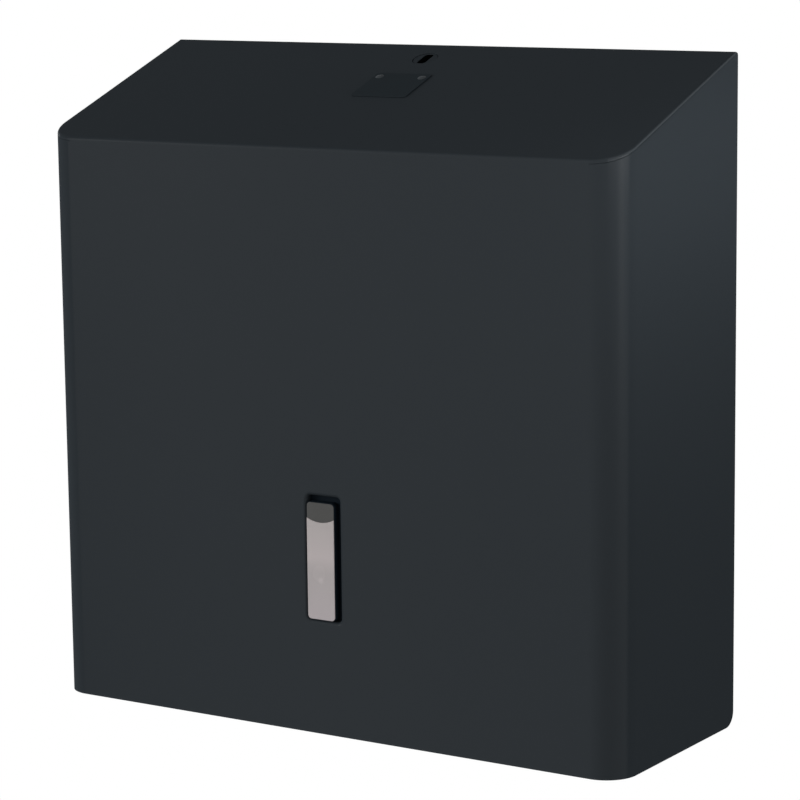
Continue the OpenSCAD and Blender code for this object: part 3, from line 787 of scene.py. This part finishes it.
def model_frame():
    """The black frame behind the cut-out, with its collar round the pane."""
    surround = rounded_slab("window_surround", (0, FRAME_Y, WINDOW_Z), frame_hi.x - frame_lo.x,
                            frame_hi.z - frame_lo.z, FRAME_T, FRAME_R)
    collar = rounded_slab("pane_collar", (0, frame_lo.y, PANE_Z), PANE_W + 2 * COLLAR_T,
                          PANE_H + 2 * COLLAR_T, FRAME_Y - frame_lo.y + FRAME_T / 2, PANE_R + COLLAR_T)
    combine(surround, collar, "UNION")
    combine(surround, pane_outline(frame_lo.y - PAST, PANE_CLEAR), "DIFFERENCE")
    soften(surround, FRAME_EDGE)
    stand_for(surround, "window_frame", black_plastic)


def model_pane():
    """The pane with its flange behind the frame, notched at the top for the clip's tongue."""
    flange_y = frame_hi.y
    pane = rounded_slab("window_pane_piece", (0, pane_lo.y, PANE_Z), PANE_W, PANE_H,
                        flange_y - pane_lo.y + PANE_CLEAR, PANE_R)
    flange_w = pane_hi.x - pane_lo.x
    flange = rounded_slab("pane_flange", (0, flange_y, PANE_Z), flange_w, pane_hi.z - pane_lo.z,
                          pane_hi.y - flange_y, PANE_R + (flange_w - PANE_W) / 2)
    combine(pane, flange, "UNION")
    notch = tongue_bar("notch", pane_lo.y - PAST, pane_hi.y + PAST, TONGUE_R + PANE_CLEAR)
    combine(notch, pane_outline(pane_lo.y - 2 * PAST, PANE_CLEAR), "INTERSECT")
    combine(pane, notch, "DIFFERENCE")
    soften(pane, PANE_EDGE, segments=3)
    stand_for(pane, "window_pane", pane_acrylic)


def model_clip():
    """The clip behind the pane, with its round-ended tongue in the notch."""
    clip_lo, clip_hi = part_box("window_clip")
    tongue = tongue_bar("window_tongue", clip_lo.y, clip_hi.y, TONGUE_R)
    combine(tongue, pane_outline(clip_lo.y - PAST, 0), "INTERSECT")
    plate = rounded_slab("clip_plate", (0, pane_hi.y, (clip_lo.z + clip_hi.z) / 2), clip_hi.x - clip_lo.x,
                         clip_hi.z - clip_lo.z, clip_hi.y - pane_hi.y, PANE_R)
    combine(tongue, plate, "UNION")
    soften(tongue, CLIP_EDGE)
    stand_for(tongue, "window_clip", tongue_plastic)


# Badge and lock

def onto_slope(slab, along, height):
    """Lays an upright slab on the slope, so far behind the lock's axis and with its face so high over it."""
    place = Matrix.Translation(LOCK + SLOPE_REAR * along + SLOPE_UP * height)
    lie_down = Matrix.Rotation(SLOPE_A - math.radians(90), 4, "X")
    slab.data.transform(place @ lie_down)


def model_badge():
    """The bare plate, lying on the slope."""
    low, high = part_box("badge_plate")
    along = ((low + high) / 2 - LOCK).dot(SLOPE_REAR)
    plate = rounded_slab("badge", (0, 0, 0), high.x - low.x, BADGE_H, BADGE_T, BADGE_R)
    onto_slope(plate, along, BADGE_T)
    soften(plate, BADGE_EDGE)
    stand_for(plate, "badge_plate", badge_coat)


def model_lock():
    """The cylinder's round face with its wide key slot, whose inside is painted black as shade."""
    lock = cad_copy("lock_cylinder")
    slot = rounded_slab("key_slot", (0, 0, 0), KEY_W, KEY_L, KEY_DEPTH, KEY_R)
    onto_slope(slot, 0, KEY_DEPTH / 2)
    combine(lock, slot, "DIFFERENCE")
    soften(lock, LOCK_EDGE)
    stand_for(lock, "lock_cylinder", lock_coat, slot_painted_shade)
    # Faces deep in the key slot take the black of the painted shade
    for face in lock.data.polygons:
        arm = face.center - LOCK
        inside = abs(arm.x) < KEY_W * SLOT_REACH and abs(arm.dot(SLOPE_REAR)) < KEY_L * SLOT_REACH
        if inside and -KEY_DEPTH < arm.dot(SLOPE_UP) < -SLOT_EDGE:
            face.material_index = 1


# Rolls

def wrap_map(piece, centre, end_material=0):
    """Lays the sides out by turn and depth, and the ends by radius and turn, and sets the ends' finish."""
    mesh = piece.data
    layer = mesh.uv_layers.new(name="wrap")
    for face in mesh.polygons:
        end = abs(face.normal.y) > END_TILT
        face.material_index = end_material if end else 0
        corners = [mesh.vertices[mesh.loops[loop].vertex_index].co for loop in face.loop_indices]
        turns = [math.atan2(co.z - centre.z, co.x - centre.x) for co in corners]
        if max(turns) - min(turns) > math.pi:
            turns = [turn + 2 * math.pi if turn < 0 else turn for turn in turns]
        for loop, co, turn in zip(face.loop_indices, corners, turns):
            radius = math.hypot(co.x - centre.x, co.z - centre.z)
            layer.data[loop].uv = (radius, turn * END_METRES_PER_RADIAN) if end else (turn * radius, co.y)


def tissue_outline(core, outer, low_y, high_y):
    """The (r, y) outline of the wound paper, from the core out along one end and back along the other."""
    reach = outer - CRUSH - core
    layers = [(core + reach * step / LAYERS, LAYER_STEP * (step % 2)) for step in range(1, LAYERS + 1)]
    outline = [(core, low_y), (core, high_y)]
    outline += [(radius, high_y - dip) for radius, dip in layers]
    outline += [(outer - CRUSH_ROUND, high_y - CRUSH_ROUND), (outer, high_y - CRUSH)]
    outline += [(outer, low_y + CRUSH), (outer - CRUSH_ROUND, low_y + CRUSH_ROUND)]
    outline += [(radius, low_y + dip) for radius, dip in reversed(layers)]
    return outline


def loosen(roll, centre, outer, start):
    """Draws the outermost layer in round the roll, which leaves a small step at its loose end."""
    for vertex in roll.data.vertices:
        arm = vertex.co - centre
        radius = math.hypot(arm.x, arm.z)
        if radius > outer - 2 * CRUSH:
            turn = (math.atan2(arm.z, arm.x) - start) % (2 * math.pi)
            shrink = 1 - LOOSE_END * turn / (2 * math.pi) / radius
            vertex.co.x = centre.x + arm.x * shrink
            vertex.co.z = centre.z + arm.z * shrink


def smooth_round(piece):
    activate(piece)
    bpy.ops.object.shade_smooth_by_angle(angle=SMOOTH_ROLL)


def model_roll(number):
    """One roll: wound paper with a loose end on a cardboard core."""
    low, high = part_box("roll_paper_%d" % number)
    core_lo, core_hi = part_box("roll_core_%d" % number)
    centre = (low + high) / 2
    outer = (high.x - low.x) / 2
    core = (core_hi.x - core_lo.x) / 2
    outline = tissue_outline(core, outer, low.y, high.y)
    roll = revolve("roll_%d_tissue" % number, outline, centre, TISSUE_STEPS)
    loosen(roll, centre, outer, LOOSE_START + LOOSE_TURN * number)
    stand_for(roll, "roll_paper_%d" % number, paper_side, paper_edge)
    wrap_map(roll, centre, end_material=1)
    smooth_round(roll)

    bore = core - CORE_T
    wall = [(bore, core_lo.y), (bore, core_hi.y), (core, core_hi.y), (core, core_lo.y)]
    tube = revolve("roll_%d_core" % number, wall, centre, CORE_STEPS)
    wrap_map(tube, centre)
    stand_for(tube, "roll_core_%d" % number, board)
    smooth_round(tube)


# The rest keep their CAD shape, with broken edges

SPINDLES = ["spindle_%d" % number for number in ROLLS]
PLATED = ["strike_hook", "strike_rivets", "axle_stud", "axle_washer", "axle_screw", "detent_screws",
          "hinge_pins", "lock_housing", "lock_cam", "cam_screw", "carousel_rotor", "spindle_screws"]
PLAIN_PIECES = [
    (["back_plate"], back_coat, 0.4 * MM),
    (["badge_rivets"], rivet_coat, 0.05 * MM),
    (["hub_cap"], cap_plastic, 0.3 * MM),
    (["detent_spring"], spring, 0.1 * MM),
    (["side_buffers"], buffer_rubber, 0.3 * MM),
    (["hinge_bushes", "hub_bush"], nylon, 0.2 * MM),
    (SPINDLES, spindle_plastic, 0.3 * MM),
    (PLATED, zinc, 0.2 * MM)]


def finish_plain_pieces():
    """A copy of each plain CAD node, with its sharp edges broken, stands for it."""
    for nodes, material, edge in PLAIN_PIECES:
        for node in nodes:
            piece = cad_copy(node)
            soften(piece, edge)
            stand_for(piece, node, material)


def finish_cad_nodes():
    """The CAD nodes themselves, which the pieces stand for, all get one finish."""
    for node in frame["nodes"].values():
        node.data.materials.clear()
        node.data.materials.append(zinc)


# Camera, fitted to the photograph's outline

CAMERA_AZIMUTH = math.radians(32.839)
CAMERA_ELEVATION = math.radians(9.6725)
CAMERA_ROLL = math.radians(-0.6551)
CAMERA_DISTANCE = 1425.2 * MM
CAMERA_LENS_MM = 136.48
CAMERA_SENSOR_MM = 36
CAMERA_TARGET = Vector((3.78 * MM, FRONT_Y + 62 * MM, BASE_Z + 147.67 * MM))


def make_camera():
    back = Vector((math.sin(CAMERA_AZIMUTH) * math.cos(CAMERA_ELEVATION),
                   -math.cos(CAMERA_AZIMUTH) * math.cos(CAMERA_ELEVATION),
                   math.sin(CAMERA_ELEVATION)))
    data = bpy.data.cameras.new("camera")
    data.lens = CAMERA_LENS_MM
    data.sensor_width = CAMERA_SENSOR_MM
    camera = linked("camera", data)
    aim = (-back).to_track_quat("-Z", "Y").to_matrix()
    camera.rotation_euler = (aim @ Matrix.Rotation(CAMERA_ROLL, 3, "Z")).to_euler()
    camera.location = CAMERA_TARGET + back * CAMERA_DISTANCE
    bpy.context.scene.camera = camera


# Stage and light

WHITE = (1, 1, 1, 1)
FLOOR_PALE = (0.8, 0.8, 0.8, 1)
FLOOR_DROP = 0.45
FLOOR_SIZE = 12.0
AMBIENT = 0.34
COVER_MIDDLE = (0, -0.05, 0.02)


def white_to_the_eye(tree, lit, out, kind):
    """Shows plain white to camera, mirror and glass rays, and the lit shader to the rest."""
    path = tree.nodes.new("ShaderNodeLightPath")
    seen = path.outputs["Is Camera Ray"]
    for ray in ("Is Glossy Ray", "Is Transmission Ray"):
        either = tree.nodes.new("ShaderNodeMath")
        either.operation = "MAXIMUM"
        tree.links.new(seen, either.inputs[0])
        tree.links.new(path.outputs[ray], either.inputs[1])
        seen = either.outputs[0]
    white = tree.nodes.new(kind)
    white.inputs["Color"].default_value = WHITE
    white.inputs["Strength"].default_value = 1.0
    mix = tree.nodes.new("ShaderNodeMixShader")
    tree.links.new(seen, mix.inputs["Fac"])
    tree.links.new(lit, mix.inputs[1])
    tree.links.new(white.outputs[0], mix.inputs[2])
    tree.links.new(mix.outputs[0], out)


def make_world():
    world = bpy.data.worlds.new("studio")
    bpy.context.scene.world = world
    world.use_nodes = True
    tree = world.node_tree
    dim = tree.nodes["Background"]
    dim.inputs["Color"].default_value = WHITE
    dim.inputs["Strength"].default_value = AMBIENT
    surface = tree.nodes["World Output"].inputs["Surface"]
    white_to_the_eye(tree, dim.outputs[0], surface, "ShaderNodeBackground")


def make_floor():
    """A plain pale floor, clear from below so that the underside can be seen."""
    deselect()
    bpy.ops.mesh.primitive_plane_add(size=FLOOR_SIZE, location=(0, 0, BASE_Z - FLOOR_DROP))
    floor = bpy.context.object
    floor.name = "floor"
    material = bpy.data.materials.new("pale_floor")
    material.use_nodes = True
    tree = material.node_tree
    pale = tree.nodes["Principled BSDF"]
    pale.inputs["Base Color"].default_value = FLOOR_PALE
    pale.inputs["Roughness"].default_value = 0.9
    side = tree.nodes.new("ShaderNodeNewGeometry")
    clear = tree.nodes.new("ShaderNodeBsdfTransparent")
    mix = tree.nodes.new("ShaderNodeMixShader")
    tree.links.new(side.outputs["Backfacing"], mix.inputs["Fac"])
    white_to_the_eye(tree, pale.outputs[0], mix.inputs[1], "ShaderNodeEmission")
    tree.links.new(clear.outputs[0], mix.inputs[2])
    tree.links.new(mix.outputs[0], tree.nodes["Material Output"].inputs["Surface"])
    floor.data.materials.append(material)


def softbox(name, place, aim, width, height, power):
    data = bpy.data.lights.new(name, "AREA")
    data.shape = "RECTANGLE"
    data.size = width
    data.size_y = height
    data.energy = power
    lamp = linked(name, data)
    lamp.location = place
    lamp.rotation_euler = (Vector(aim) - Vector(place)).to_track_quat("-Z", "Y").to_euler()


# Build

model_front_cover()
model_sloped_top()
model_frame()
model_pane()
model_clip()
model_badge()
model_lock()
for roll_number in ROLLS:
    model_roll(roll_number)
finish_plain_pieces()
finish_cad_nodes()

make_camera()
make_world()
make_floor()
softbox("front_box", place=(-5.0, -3.2, 1.05), aim=COVER_MIDDLE, width=2.4, height=2.4, power=212)
softbox("right_box", place=(2.8, -0.5, 0.3), aim=COVER_MIDDLE, width=1.0, height=1.0, power=13.5)
softbox("side_strip", place=(0.255, -0.07, 0.147), aim=(0.155, -0.07, 0.128),
        width=0.36, height=0.055, power=0.175)

bpy.context.scene.view_settings.view_transform = "Standard"
